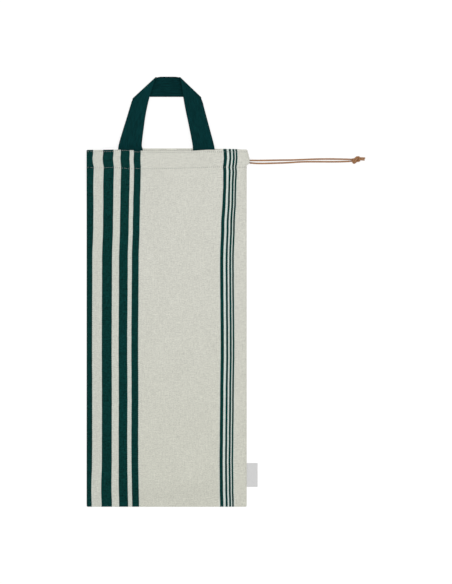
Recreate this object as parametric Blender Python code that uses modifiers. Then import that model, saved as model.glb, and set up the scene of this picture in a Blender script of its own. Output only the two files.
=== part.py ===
"""A long striped cotton bread bag, lying empty on its back, with a strap handle and a drawcord.

Metres, +Z up. The origin is the middle of the back panel's resting face, +Y points to the mouth.
"""

import math

import bmesh
import bpy
from mathutils import Vector

# The bag's cloth
BAG_WIDTH = 0.2985
BOTTOM_Y = -0.334
MOUTH_Y = 0.3313  # the front panel's top edge
CLOTH_THICK = 0.0010
SIDE_ROUND = 0.0016  # radius of the side edges along the body
MOUTH_ROUND = 0.0062  # and at the mouth, where they hold the casing
BODY_CROWN = 0.0134
MOUTH_CROWN = 0.0055
CROWN_POWER = 4
THICKER_FROM_Y = 0.200  # the body grows towards its mouth from here to the casing
CROWN_RUN = 0.050  # the front panel climbs over this length from the bottom seam
CALM_Y = (0.290, 0.230)  # the waves start under the casing and are full below it
STITCH_Y = 0.2984
STITCH_DIP = 0.0016
STITCH_REACH = 0.006
HEM_END_Y = 0.2940
LEFT_POCKET = 0.008  # the hem's own side folds stay this far inside the outer ones
RIGHT_POCKET = 0.018
CORNER_ROUND = 0.006
FOLD_WIDTH = 0.0030  # across the cloth's turn at the rim
EXIT_LOW_Y = 0.3030
EXIT_HIGH_Y = 0.3175
EXIT_FACING = 0.35  # only the faces that look sideways are opened
EXIT_FLARE = 0.0056  # the side seam stands out where the cord leaves it
FLARE_Y = (0.3020, 0.3075, 0.3090, 0.3370)  # it starts, is full, begins to shrink, has gone

# How wide the casing is inside, along the bag
CASING = (
    # y, clear gap
    (0.2940, 0.0005),
    (0.2984, 0.0005),
    (0.3045, 0.0039),
    (0.3150, 0.0039),
    (0.3220, 0.0022),
    (0.3300, 0.0010),
)
# The back panel's rim stands above the front one, most of all between the strap's feet
RIM_RISE = (
    # x, rise
    (-0.1480, 0.0006),
    (-0.0900, 0.0008),
    (-0.0480, 0.0041),
    (0.0500, 0.0041),
    (0.0900, 0.0029),
    (0.1260, 0.0020),
    (0.1480, 0.0010),
)
# The soft waves of the front panel
WAVES = (
    # height, waves per metre along x, along y, phase
    (0.0006, 5.3, 1.1, 0.4),
    (0.0005, 2.1, 3.4, 2.1),
    (0.0004, 9.0, 2.3, 4.0),
)
BODY_ROWS = (
    -0.326, -0.312, -0.292, -0.262, -0.215, -0.155, -0.090, -0.025,
    0.040, 0.100, 0.155, 0.200, 0.235, 0.262, 0.284,
)
CASING_ROWS = (HEM_END_Y, STITCH_Y, EXIT_LOW_Y, 0.3065, 0.3100, 0.3135, EXIT_HIGH_Y, 0.3220, 0.3270)
FOLD_STEPS = 4
SIDE_STEPS = 3
SPAN_STEPS = 16

# The strap handle: rows from its foot up, each from the outer edge to the inner edge
STRAP_THICK = 0.0016
STRAP_FLOOR_Z = 0.0009  # the middle of the strap where it lies on the surface
STRAP_COLUMNS = 4
STRAP_ARCH = 0.0008  # the free legs are this much higher along their middle
FOOT_ROWS = 4
LEFT_LEG = (
    # outer x, outer y, outer z, inner x, inner y, inner z
    (-0.0908, 0.3030, 0.0070, -0.0448, 0.3030, 0.0070),
    (-0.0906, 0.3310, 0.0070, -0.0441, 0.3310, 0.0070),
    (-0.0903, 0.3350, 0.0069, -0.0446, 0.3346, 0.0069),
    (-0.0899, 0.3390, 0.0067, -0.0466, 0.3378, 0.0067),
    (-0.0865, 0.3520, 0.0060, -0.0451, 0.3530, 0.0062),
    (-0.0822, 0.3660, 0.0052, -0.0428, 0.3700, 0.0060),
    (-0.0781, 0.3794, 0.0047, -0.0408, 0.3860, 0.0058),
    (-0.0735, 0.3940, 0.0044, -0.0382, 0.4020, 0.0056),
    (-0.0694, 0.4080, 0.0042, -0.0348, 0.4180, 0.0054),
    (-0.0667, 0.4165, 0.0041, -0.0313, 0.4320, 0.0052),
    (-0.0652, 0.4218, 0.0041, -0.0262, 0.4480, 0.0050),
)
RIGHT_LEG = (
    # outer x, outer y, outer z, inner x, inner y, inner z
    (0.0905, 0.3030, 0.0070, 0.0490, 0.3030, 0.0070),
    (0.0904, 0.3160, 0.0070, 0.0489, 0.3160, 0.0070),
    (0.0902, 0.3290, 0.0070, 0.0489, 0.3290, 0.0070),
    (0.0889, 0.3390, 0.0067, 0.0486, 0.3390, 0.0067),
    (0.0855, 0.3520, 0.0060, 0.0460, 0.3540, 0.0062),
    (0.0818, 0.3655, 0.0052, 0.0428, 0.3700, 0.0060),
    (0.0781, 0.3794, 0.0047, 0.0395, 0.3860, 0.0058),
    (0.0742, 0.3940, 0.0044, 0.0360, 0.4020, 0.0056),
    (0.0704, 0.4080, 0.0042, 0.0330, 0.4180, 0.0054),
    (0.0682, 0.4170, 0.0041, 0.0306, 0.4320, 0.0052),
    (0.0664, 0.4230, 0.0041, 0.0286, 0.4480, 0.0050),
)
LEFT_CREASE = ((-0.0635, 0.4280), (-0.0207, 0.4676))
RIGHT_CREASE = ((0.0645, 0.4302), (0.0252, 0.4678))
CREASE_ROUND = (0.0016, 0.0020)  # the fold's radius at its outer and its inner end
CREASE_STEPS = 5
TOP_LOWER_Y = 0.4306
TOP_UPPER_Y = 0.4682
TOP_ROWS = 7
TOP_EASE = 0.12  # the top run reaches its own edges over this share of its length

# The label in the right side seam
LABEL_SIZE = (0.0200, 0.0443)
LABEL_CENTRE_Y = -0.2746
LABEL_THICK = 0.0010
LABEL_ROWS = (
    # how far along its width, height of its middle
    (0.00, 0.0016),
    (0.25, 0.0013),
    (0.55, 0.0007),
    (1.00, 0.0005),
)

# The drawcord
CORD_DIAMETER = 0.0030
CORD_STEP = 0.0085
RUN_STEP = 0.0130
UPPER_LANE_Y = 0.3122
LOWER_LANE_Y = 0.3068
RUN_LEFT_X = -0.1405
RUN_RIGHT_X = 0.1390
TURN_STEPS = 8
CLEARANCE = 0.0003
RUN_GAP = 0.0007  # between the held stretch and each free strand, whose ends are a little turned
UPPER_ROUTE = (
    # x, y, z
    (0.1545, 0.3118, 0.0076),
    (0.1640, 0.3118, 0.0066),
    (0.1760, 0.3119, 0.0042),
    (0.1900, 0.3122, 0.0020),
    (0.2120, 0.3126, 0.0016),
    (0.2300, 0.3128, 0.0016),
    (0.2500, 0.3134, 0.0016),
    (0.2720, 0.3143, 0.0016),
    (0.2950, 0.3147, 0.0016),
    (0.3160, 0.3146, 0.0016),
    (0.3320, 0.3143, 0.0017),
    (0.3420, 0.3140, 0.0020),
)
LOWER_ROUTE = (
    # x, y, z
    (0.1545, 0.3074, 0.0052),
    (0.1640, 0.3066, 0.0046),
    (0.1760, 0.3063, 0.0030),
    (0.1900, 0.3066, 0.0017),
    (0.2120, 0.3072, 0.0016),
    (0.2300, 0.3080, 0.0016),
    (0.2500, 0.3093, 0.0016),
    (0.2720, 0.3096, 0.0016),
    (0.2950, 0.3095, 0.0016),
    (0.3160, 0.3095, 0.0016),
    (0.3320, 0.3099, 0.0017),
    (0.3420, 0.3104, 0.0020),
)
CURVE_PARTS = 12  # straight pieces between two points of a route, before it is spaced evenly
KNOT_STEP = 0.0012
KNOT_CENTRE = (0.3534, 0.3129, 0.0054)
KNOT_STRAND_APART = 0.0032
KNOT_VOXEL = 0.0011
KNOT_FATTER = 1.10  # the strands press together, so the solid has no slits between them
KNOT_ROUTE = (
    # x, y, z from the knot's middle: under, over, under, over, under, over
    (-0.0109, -0.0006, -0.0034),
    (-0.0060, -0.0006, -0.0032),
    (-0.0010, -0.0010, -0.0010),
    (0.0036, -0.0014, 0.0004),
    (0.0062, 0.0012, -0.0020),
    (0.0040, 0.0036, -0.0012),
    (0.0014, 0.0028, 0.0024),
    (-0.0020, -0.0004, 0.0032),
    (-0.0048, -0.0036, 0.0014),
    (-0.0036, -0.0048, -0.0022),
    (0.0004, -0.0020, -0.0036),
    (0.0036, 0.0010, -0.0034),
    (0.0070, 0.0022, 0.0016),
    (0.0112, 0.0018, -0.0008),
    (0.0172, 0.0016, -0.0038),
)

WELD = 0.00001

CLOTH_COLOUR = (0.610, 0.610, 0.540)
STRAP_COLOUR = (0.003, 0.028, 0.030)
LABEL_COLOUR = (0.650, 0.650, 0.650)
CORD_COLOUR = (0.330, 0.190, 0.100)


def clear_scene():
    for old in list(bpy.data.objects):
        bpy.data.objects.remove(old, do_unlink=True)


def material(name, colour, roughness):
    made = bpy.data.materials.new(name)
    made.use_nodes = True
    shader = made.node_tree.nodes["Principled BSDF"]
    shader.inputs["Base Color"].default_value = (*colour, 1)
    shader.inputs["Roughness"].default_value = roughness
    shader.inputs["Metallic"].default_value = 0
    return made


def new_object(name, data, collection, look):
    made = bpy.data.objects.new(name, data)
    collection.objects.link(made)
    data.materials.append(look)
    return made


def smooth_step(value):
    value = min(1.0, max(0.0, value))
    return value * value * (3 - 2 * value)


def ramp(value, start, end):
    """0 at start and 1 at end, with a soft beginning and a soft end."""
    return smooth_step((value - start) / (end - start))


def table_value(table, key):
    """The second column of a table at a key of the first, eased between rows."""
    if key <= table[0][0]:
        return table[0][1]
    for (low, first), (high, second) in zip(table, table[1:]):
        if key <= high:
            return first + (second - first) * ramp(key, low, high)
    return table[-1][1]


def side_round(y):
    return SIDE_ROUND + (MOUTH_ROUND - SIDE_ROUND) * ramp(y, THICKER_FROM_Y, EXIT_LOW_Y)


def corner_inset(y):
    """How far the side edge turns in at the bottom corners."""
    down = min(CORNER_ROUND, max(0.0, BOTTOM_Y + CORNER_ROUND - y))
    return CORNER_ROUND - math.sqrt(CORNER_ROUND**2 - down**2)


def left_edge(y):
    return corner_inset(y) - BAG_WIDTH / 2


def right_edge(y):
    """The right side seam, which slants out towards the cord's exit and comes back under it."""
    out = ramp(y, FLARE_Y[0], FLARE_Y[1]) * ramp(y, FLARE_Y[3], FLARE_Y[2])
    return BAG_WIDTH / 2 + EXIT_FLARE * out - corner_inset(y)


def share_across(x, y):
    """Where x lies between the side edges at y, from -1 at the left to 1 at the right."""
    share = 2 * (x - left_edge(y)) / (right_edge(y) - left_edge(y)) - 1
    return max(-1.0, min(1.0, share))


def hem_inset(y):
    """From the bag's outside to the hem's inner face."""
    return 2 * CLOTH_THICK + table_value(CASING, y)


def front_rise(share, y):
    """The front panel's height over its side edges, at a share from -1 to 1 of the way across."""
    crown = BODY_CROWN + (MOUTH_CROWN - BODY_CROWN) * ramp(y, THICKER_FROM_Y, EXIT_LOW_Y)
    crown *= ramp(y, BOTTOM_Y, BOTTOM_Y + CROWN_RUN)
    shape = 1 - abs(share) ** CROWN_POWER
    dip = STITCH_DIP * math.exp(-(((y - STITCH_Y) / STITCH_REACH) ** 2))
    calm = ramp(y, *CALM_Y) * ramp(y, BOTTOM_Y, BOTTOM_Y + CROWN_RUN)
    x = share * BAG_WIDTH / 2
    wave = sum(
        height * math.sin(2 * math.pi * (across * x + along * y) + phase)
        for height, across, along, phase in WAVES
    )
    return (crown - dip) * shape + wave * calm * (1 - share * share)


def rim_shift(x, share, y, front):
    """How far a point of the casing lies above its row, since the back rim stands higher."""
    if front:
        return 0.0
    return table_value(RIM_RISE, x) * (1 - share**6) * ramp(y, STITCH_Y, MOUTH_Y)


def cloth_point(column, y, inset, front, close=1.0):
    """A point of the bag's section at y, inset from its outside; close flattens the bottom edge."""
    last = 2 * SIDE_STEPS + SPAN_STEPS
    right = column > last / 2
    step = last - column if right else column
    round_here = side_round(y)
    drawn_in = max(0.0, inset - FOLD_WIDTH) / FOLD_WIDTH
    start = left_edge(y) + round_here + LEFT_POCKET * drawn_in
    end = right_edge(y) - round_here - RIGHT_POCKET * drawn_in
    if step < SIDE_STEPS:
        angle = math.pi / 2 * step / SIDE_STEPS
        out = (round_here - inset) * math.cos(angle)
        x = end + out if right else start - out
        up = (round_here - inset) * math.sin(angle)
        share = 1.0 if right else -1.0
        z = round_here + (up if front else -up)
    else:
        part = (column - SIDE_STEPS) / SPAN_STEPS
        x = start + (end - start) * part
        share = share_across(x, y)
        z = 2 * round_here + front_rise(share, y) - inset if front else inset
    z = round_here + (z - round_here) * close
    return Vector((x, y + rim_shift(x, share, y, front), z))


def cloth_rows():
    """Each row of the cloth from the bottom seam up, over the rim and down the hem."""
    rows = []
    for step in range(SIDE_STEPS):
        angle = math.pi / 2 * step / SIDE_STEPS
        rows.append((BOTTOM_Y + SIDE_ROUND * (1 - math.cos(angle)), 0.0, math.sin(angle)))
    rows += [(y, 0.0, 1.0) for y in BODY_ROWS + CASING_ROWS]
    turn = FOLD_WIDTH / 2
    for step in range(FOLD_STEPS + 1):
        angle = math.pi * step / FOLD_STEPS
        rows.append((MOUTH_Y - turn + turn * math.sin(angle), turn * (1 - math.cos(angle)), 1.0))
    rows += [(y, hem_inset(y), 1.0) for y in reversed(CASING_ROWS)]
    return rows


def lay_grid(mesh, columns, rows, place):
    """Adds a grid primitive and puts each of its points where place(column, row) says."""
    made = bmesh.ops.create_grid(mesh, x_segments=columns, y_segments=rows, size=0.5)
    for vert in made["verts"]:
        column = round((vert.co.x + 0.5) * columns)
        row = round((vert.co.y + 0.5) * rows)
        vert.co = place(column, row)
    return made["verts"]


def cut_cord_exit(mesh):
    """Opens the right side seam across the casing, where the cord comes out."""
    inner_x = BAG_WIDTH / 2 - MOUTH_ROUND / 2
    gone = []
    for face in mesh.faces:
        centre = face.calc_center_median()
        outside = centre.x > inner_x and abs(face.normal.x) > EXIT_FACING
        if outside and EXIT_LOW_Y < centre.y < EXIT_HIGH_Y:
            gone.append(face)
    bmesh.ops.delete(mesh, geom=gone, context="FACES")


def build_bag(collection):
    rows = cloth_rows()
    columns = 2 * SIDE_STEPS + SPAN_STEPS
    mesh = bmesh.new()
    for front in (True, False):
        lay_grid(
            mesh,
            columns,
            len(rows) - 1,
            lambda column, row: cloth_point(column, rows[row][0], rows[row][1], front, rows[row][2]),
        )
    bmesh.ops.remove_doubles(mesh, verts=mesh.verts, dist=WELD)
    bmesh.ops.recalc_face_normals(mesh, faces=mesh.faces)
    cut_cord_exit(mesh)
    data = bpy.data.meshes.new("bag_body")
    mesh.to_mesh(data)
    mesh.free()
    data.shade_smooth()
    bag = new_object("bag_body", data, collection, material("cotton", CLOTH_COLOUR, 0.9))
    thicken(bag, CLOTH_THICK, -1)
    return bag


def thicken(piece, thickness, offset):
    solid = piece.modifiers.new("Thickness", "SOLIDIFY")
    solid.thickness = thickness
    solid.offset = offset
    solid.use_even_offset = True


def crease_rows(crease, leg):
    """The rows of the strap round one mitred fold, from the leg's layer to the top run's."""
    ends = [Vector((*end, 0)) for end in crease]
    along = (ends[1] - ends[0]).normalized()
    out = Vector((-along.y, along.x, 0))
    if out.y < 0:
        out = -out
    to_top = Vector((-math.copysign(1, ends[0].x), 0, 0))
    rows = []
    for step in range(CREASE_STEPS + 1):
        angle = math.pi * (0.5 - step / CREASE_STEPS)
        row = []
        for end, turn, foot in zip(ends, CREASE_ROUND, leg[-1]):
            to_leg = Vector((foot.x - end.x, foot.y - end.y, 0)).normalized()
            away = to_leg if angle > 0 else to_top
            slide = away * turn * (1 - math.cos(angle)) / -away.dot(out)
            height = Vector((0, 0, STRAP_FLOOR_Z + turn + turn * math.sin(angle)))
            row.append(end - out * STRAP_THICK / 2 + slide + height)
        rows.append(row)
    return rows


def strap_rows():
    """The whole strap as rows from its outer to its inner edge, from foot to foot."""
    left = [(Vector(row[:3]), Vector(row[3:])) for row in LEFT_LEG]
    right = [(Vector(row[:3]), Vector(row[3:])) for row in RIGHT_LEG]
    first = crease_rows(LEFT_CREASE, left)
    last = crease_rows(RIGHT_CREASE, right)[::-1]
    top = []
    for step in range(1, TOP_ROWS):
        share = step / TOP_ROWS
        level = ramp(share, 0.0, TOP_EASE) * ramp(share, 1.0, 1.0 - TOP_EASE)
        lower = first[-1][0].lerp(last[0][0], share)
        upper = first[-1][1].lerp(last[0][1], share)
        lower.y += (TOP_LOWER_Y - lower.y) * level
        upper.y += (TOP_UPPER_Y - upper.y) * level
        top.append((lower, upper))
    return left + first + top + last + right[::-1]


def build_handle(collection):
    rows = strap_rows()
    from_end = len(rows) - 1

    def place(column, row):
        share = column / STRAP_COLUMNS
        point = rows[row][0].lerp(rows[row][1], share)
        on_leg = FOOT_ROWS <= min(row, from_end - row) < len(LEFT_LEG)
        point.z += STRAP_ARCH * math.sin(math.pi * share) * on_leg
        return point

    mesh = bmesh.new()
    lay_grid(mesh, STRAP_COLUMNS, len(rows) - 1, place)
    bmesh.ops.recalc_face_normals(mesh, faces=mesh.faces)
    data = bpy.data.meshes.new("handle")
    mesh.to_mesh(data)
    mesh.free()
    data.shade_smooth()
    strap = new_object("handle", data, collection, material("strap", STRAP_COLOUR, 0.8))
    thicken(strap, STRAP_THICK, 0)
    return strap


def build_label(collection):
    start_x = BAG_WIDTH / 2 + CLEARANCE

    def place(column, row):
        along, height = LABEL_ROWS[column]
        y = LABEL_CENTRE_Y + LABEL_SIZE[1] * (row - 0.5)
        return Vector((start_x + LABEL_SIZE[0] * along, y, height))

    mesh = bmesh.new()
    lay_grid(mesh, len(LABEL_ROWS) - 1, 1, place)
    data = bpy.data.meshes.new("seam_label")
    mesh.to_mesh(data)
    mesh.free()
    label = new_object("seam_label", data, collection, material("label", LABEL_COLOUR, 0.7))
    thicken(label, LABEL_THICK, 0)
    return label


def smooth_curve(points, step):
    """Points about a step apart on the smooth curve through the given ones."""
    points = [Vector(p) for p in points]
    ends = [2 * points[0] - points[1]] + points + [2 * points[-1] - points[-2]]
    fine = []
    for a, b, c, d in zip(ends, ends[1:], ends[2:], ends[3:]):
        for part in range(CURVE_PARTS):
            t = part / CURVE_PARTS
            fine.append(
                0.5
                * (
                    2 * b
                    + (c - a) * t
                    + (2 * a - 5 * b + 4 * c - d) * t * t
                    + (3 * b - a - 3 * c + d) * t * t * t
                )
            )
    fine.append(points[-1])
    along = [0.0]
    for a, b in zip(fine, fine[1:]):
        along.append(along[-1] + (b - a).length)
    count = max(2, round(along[-1] / step))
    spaced, place = [], 0
    for index in range(count + 1):
        wanted = along[-1] * index / count
        while place < len(fine) - 2 and along[place + 1] < wanted:
            place += 1
        share = (wanted - along[place]) / max(along[place + 1] - along[place], 1e-9)
        spaced.append(fine[place].lerp(fine[place + 1], share))
    return spaced


def tube(name, points, diameter, collection, look):
    curve = bpy.data.curves.new(name, "CURVE")
    curve.dimensions = "3D"
    curve.bevel_depth = diameter / 2
    curve.bevel_resolution = 2
    curve.use_fill_caps = True
    spline = curve.splines.new("POLY")
    spline.points.add(len(points) - 1)
    for spot, point in zip(spline.points, points):
        spot.co = (*point, 1)
    return new_object(name, curve, collection, look)


def casing_middle(x, y, front):
    """The height of the casing's middle, over or under the hem."""
    share = share_across(x, y)
    deep = CLOTH_THICK + table_value(CASING, y) / 2
    if not front:
        return deep
    return 2 * side_round(y) + front_rise(share, y) - deep


def run_points():
    """The held stretch: in at the seam, along the front casing, round the left fold and back."""
    span = RUN_RIGHT_X - RUN_LEFT_X
    count = round(span / RUN_STEP)
    xs = [RUN_RIGHT_X - span * step / count for step in range(count + 1)]
    start, end = Vector(UPPER_ROUTE[0]), Vector(LOWER_ROUTE[0])
    gap = Vector((RUN_GAP, 0, 0))
    points = [start - gap]
    points += [Vector((x, UPPER_LANE_Y, casing_middle(x, UPPER_LANE_Y, True))) for x in xs]
    high = points[-1].copy()
    low = Vector((RUN_LEFT_X, LOWER_LANE_Y, casing_middle(RUN_LEFT_X, LOWER_LANE_Y, False)))
    middle, arm = (high + low) / 2, (high - low) / 2
    for step in range(1, TURN_STEPS):
        angle = math.pi * step / TURN_STEPS
        out = Vector((-arm.length * math.sin(angle), 0, 0))
        points.append(middle + arm * math.cos(angle) + out)
    points.append(low)
    points += [
        Vector((x, LOWER_LANE_Y, casing_middle(x, LOWER_LANE_Y, False))) for x in reversed(xs[:-1])
    ]
    points.append(end - gap)
    return points


def build_knot(collection, look):
    """Both strands tied together in one overhand knot, as one solid of its outer shape."""
    path = smooth_curve([Vector(KNOT_CENTRE) + Vector(p) for p in KNOT_ROUTE], KNOT_STEP)
    strands = []
    for side in (-1, 1):
        points = []
        for index, point in enumerate(path):
            before, after = path[max(index - 1, 0)], path[min(index + 1, len(path) - 1)]
            across = (after - before).cross(Vector((0, 0, 1))).normalized()
            points.append(point + across * side * KNOT_STRAND_APART / 2)
        strands.append(tube("strand", points, CORD_DIAMETER * KNOT_FATTER, collection, look))
    bpy.context.view_layer.update()
    graph = bpy.context.evaluated_depsgraph_get()
    mesh = bmesh.new()
    for strand in strands:
        part = bpy.data.meshes.new_from_object(strand.evaluated_get(graph))
        mesh.from_mesh(part)
        bpy.data.meshes.remove(part)
        bpy.data.objects.remove(strand, do_unlink=True)
    bmesh.ops.remove_doubles(mesh, verts=mesh.verts, dist=WELD)
    data = bpy.data.meshes.new("drawcord_knot")
    mesh.to_mesh(data)
    mesh.free()
    knot = new_object("drawcord_knot", data, collection, look)
    skin = knot.modifiers.new("Skin", "REMESH")
    skin.mode = "VOXEL"
    skin.voxel_size = KNOT_VOXEL
    return knot


def build_drawcord(collection):
    look = material("cord", CORD_COLOUR, 0.55)
    tube("drawcord_run", run_points(), CORD_DIAMETER, collection, look)
    upper = smooth_curve(UPPER_ROUTE, CORD_STEP)
    lower = smooth_curve(LOWER_ROUTE, CORD_STEP)
    tube("drawcord_upper", upper, CORD_DIAMETER, collection, look)
    tube("drawcord_lower", lower, CORD_DIAMETER, collection, look)
    build_knot(collection, look)


def main():
    clear_scene()
    collection = bpy.data.collections.new("bread_bag")
    bpy.context.scene.collection.children.link(collection)
    build_bag(collection)
    build_handle(collection)
    build_label(collection)
    build_drawcord(collection)


main()
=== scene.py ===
"""A long striped cotton bread bag, lying empty on a pale surface, seen from straight above.

Metres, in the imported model's frame: +Y points to the mouth and +Z up from the surface.
"""

import itertools
import math
import random

import bmesh
import bpy
import numpy as np
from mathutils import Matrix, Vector, noise


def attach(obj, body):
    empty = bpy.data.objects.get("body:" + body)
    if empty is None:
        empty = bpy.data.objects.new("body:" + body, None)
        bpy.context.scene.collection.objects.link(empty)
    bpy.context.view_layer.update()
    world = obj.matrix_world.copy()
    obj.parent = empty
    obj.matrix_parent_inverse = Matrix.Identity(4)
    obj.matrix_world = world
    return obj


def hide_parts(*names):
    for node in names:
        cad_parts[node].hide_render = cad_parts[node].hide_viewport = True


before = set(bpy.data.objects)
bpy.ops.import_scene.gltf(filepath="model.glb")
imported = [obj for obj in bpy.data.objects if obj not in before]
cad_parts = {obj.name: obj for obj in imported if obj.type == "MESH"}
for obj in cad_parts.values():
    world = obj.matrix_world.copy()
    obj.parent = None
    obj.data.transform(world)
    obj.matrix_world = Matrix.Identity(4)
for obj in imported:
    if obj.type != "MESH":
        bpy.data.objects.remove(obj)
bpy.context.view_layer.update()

# The picture
CAMERA_X = 0.1107
CAMERA_Y = 0.0666
CAMERA_HEIGHT = 6.0
FRAME_LENGTH = 1.0897  # what the picture's long side covers on the surface
SENSOR = 36
SKY_STRENGTH = 0.80
SOFTBOX_SIZE = (1.6, 1.2)
SOFTBOX_PLACE = (0.3, 0.45, 2.25)
SOFTBOX_AIM = (0.05, 0.05, 0)
SOFTBOX_ENERGY = 16.2
FLOOR_REACH = 6.0
FLOOR_Z = -0.0003
FLOOR_CELLS = 4
FLOOR_GLOW = 0.735

# The bag's cloth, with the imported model's own sizes
BAG_WIDTH = 0.2985
BOTTOM_Y = -0.334
MOUTH_Y = 0.3313
CLOTH_THICK = 0.0010
SIDE_ROUND = 0.0016
MOUTH_ROUND = 0.0062
BODY_CROWN = 0.0134
MOUTH_CROWN = 0.0055
CROWN_POWER = 4
THICKER_FROM_Y = 0.200
CROWN_RUN = 0.050
CALM_Y = (0.290, 0.230)
STITCH_Y = 0.2984
STITCH_DIP = 0.0016
STITCH_REACH = 0.006
HEM_END_Y = 0.2940
LEFT_POCKET = 0.008
RIGHT_POCKET = 0.018
CORNER_ROUND = 0.0024
FOLD_WIDTH = 0.0030
EXIT_LOW_Y = 0.3030
EXIT_HIGH_Y = 0.3175
EXIT_SOFT = 0.0025  # the slit opens and closes over this much of the casing
LIP_DROP = 0.0012  # how far each lip of the slit bends towards the other
EXIT_FLARE = 0.0056
FLARE_Y = (0.3020, 0.3075, 0.3090, 0.3400)
CASING = (
    # y, clear gap
    (0.2940, 0.0005),
    (0.2984, 0.0005),
    (0.3045, 0.0039),
    (0.3150, 0.0039),
    (0.3220, 0.0022),
    (0.3300, 0.0010),
)
# How far the rim stands above its row, at the front and for the back panel over that
RIM_LINE = (
    # x, rise at the front, more at the back
    (-0.1480, 0.0000, 0.0006),
    (-0.0850, 0.0001, 0.0010),
    (-0.0480, -0.0015, 0.0048),
    (0.0500, -0.0015, 0.0048),
    (0.0800, 0.0001, 0.0026),
    (0.1260, 0.0008, 0.0019),
    (0.1560, 0.0008, 0.0010),
)
WAVES = (
    # height, waves per metre along x, along y, phase
    (0.0006, 5.3, 1.1, 0.4),
    (0.0005, 2.1, 3.4, 2.1),
    (0.0004, 9.0, 2.3, 4.0),
)

# What the fine cloth adds
FINE_THICK = 0.0008
SIDE_STEPS = 5
SPAN_STEPS = 84
BODY_STEP = 0.0042
CASING_FROM_Y = 0.2880
CASING_STEP = 0.0009
RIM_STEPS = 8
HEM_ROWS = 14
RELIEF_POWER = 6  # how sharply the relief ends at the side edges
SOFT_FOLD = (0.00045, 0.045, 0.135)  # height of the slack cloth's soft folds, sizes in x and y
DIMPLE = (0.00010, 0.011, 0.011)
GATHER = (0.00040, 0.0095, 0.05)  # puckers round the casing
GATHER_Y = (0.2700, 0.2960, 0.3250, 0.3320)  # where they start, are full, and fade again
GROOVE = (0.00014, 0.0010)  # depth and reach of the dent along a line of stitches
SEAM_STEP = 0.00030  # the seam allowances inside press through
SEAM_ALLOWANCE = 0.0100
CORD_RIDGE = (0.00040, 0.0022)
SEAM_SOFT = 0.001
BACK_LIFT = 0.00015
BACK_LUMP = (0.03, 0.05)
# Where the hem's line of stitches runs
HEM_LINE = (
    # x, y
    (-0.148, 0.2984),
    (-0.105, 0.2983),
    (-0.062, 0.2964),
    (-0.040, 0.2958),
    (0.007, 0.2962),
    (0.050, 0.2978),
    (0.091, 0.2993),
    (0.137, 0.2989),
)
# And the line of stitches along the rim
TOP_LINE = (
    # x, y
    (-0.148, 0.3278),
    (-0.104, 0.3278),
    (-0.089, 0.3297),
    (-0.073, 0.3301),
    (-0.060, 0.3289),
    (-0.040, 0.3280),
    (0.050, 0.3276),
    (0.140, 0.3267),
)
LINES_PART_Y = 0.313  # each point belongs to the hem's line below this and to the rim's above
# Where painted shadow dots, at the stitch pitch, darken the back panel's rim just behind the front
# rim
SHADOW_DOT_SPANS = (
    # start, end along x
    (-0.0138, 0.0000),
    (0.0180, 0.0408),
)
# how far along the cloth the painted shadow dots reach
SHADOW_DOT_ALONG = (0.3322, 0.3344)
RIM_LIGHT_ALONG = (0.3306, 0.3372)  # painted light on the back panel's rim, lifting the shade that the front rim casts there

# The woven stripes, from the left fold
STRIPES = (
    # start, end
    (-0.0107, 0.0107),
    (0.0287, 0.0473),
    (0.0600, 0.0763),
    (0.0837, 0.0965),
    (0.2488, 0.2550),
    (0.2590, 0.2630),
    (0.2656, 0.2695),
    (0.2711, 0.2744),
)
THICK_STRIPES = (0.0000, 0.0980)
THIN_STRIPES = (0.2545, 0.2715)
FRINGE = 0.0016  # the green shows through this far beside each stripe
STRIPE_SOFT = 0.0003
FRINGE_SOFT = 0.0006
TOOTH = (0.0019, 0.0005)  # pitch and depth of the weave's teeth along a stripe's edge
WANDER = (40, 55, 0.0006)  # the edges' waves per metre across and along, and their size
# How far the slack cloth carries the stripes to the right
STRIPE_SHIFT = (
    # y, at the left fold, at the fourth stripe, at the first thin stripe, at the last
    (-0.3309, -0.0012, 0.0014, 0.0002, 0.0002),
    (-0.3029, -0.0018, 0.0010, -0.0005, -0.0005),
    (-0.2469, -0.0002, 0.0003, -0.0010, -0.0010),
    (-0.2096, 0.0000, 0.0001, -0.0006, -0.0006),
    (-0.1265, 0.0000, 0.0004, 0.0002, 0.0002),
    (-0.0416, -0.0002, 0.0000, 0.0012, 0.0012),
    (0.1263, 0.0002, 0.0010, 0.0001, 0.0001),
    (0.1916, 0.0020, 0.0027, 0.0020, 0.0020),
    (0.2383, 0.0024, 0.0036, 0.0046, 0.0042),
    (0.2653, 0.0022, 0.0044, 0.0060, 0.0047),
    (0.2914, 0.0030, 0.0049, 0.0059, 0.0059),
    (0.2980, 0.0033, 0.0050, 0.0053, 0.0053),
    (0.3092, 0.0015, 0.0045, 0.0065, 0.0065),
    (0.3148, 0.0009, 0.0043, 0.0071, 0.0071),
    (0.3260, 0.0021, 0.0048, 0.0067, 0.0067),
    (0.3316, 0.0020, 0.0045, 0.0060, 0.0060),
)
SHIFT_AT = (0.010, 0.090, 0.252, 0.273)

# The stitches
STITCH_PITCH = 0.00380
STITCH_LENGTH = 0.0020
THREAD = 0.00036
THREAD_PROUD = 0.00005
STITCH_SIDES = 6
STITCH_RINGS = 5
STITCH_VARIES = (0.85, 1.10)
STITCH_LEAN = 0.00015
STITCH_SEED = 5
FIRST_STITCH = 0.0022  # from the left fold

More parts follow.
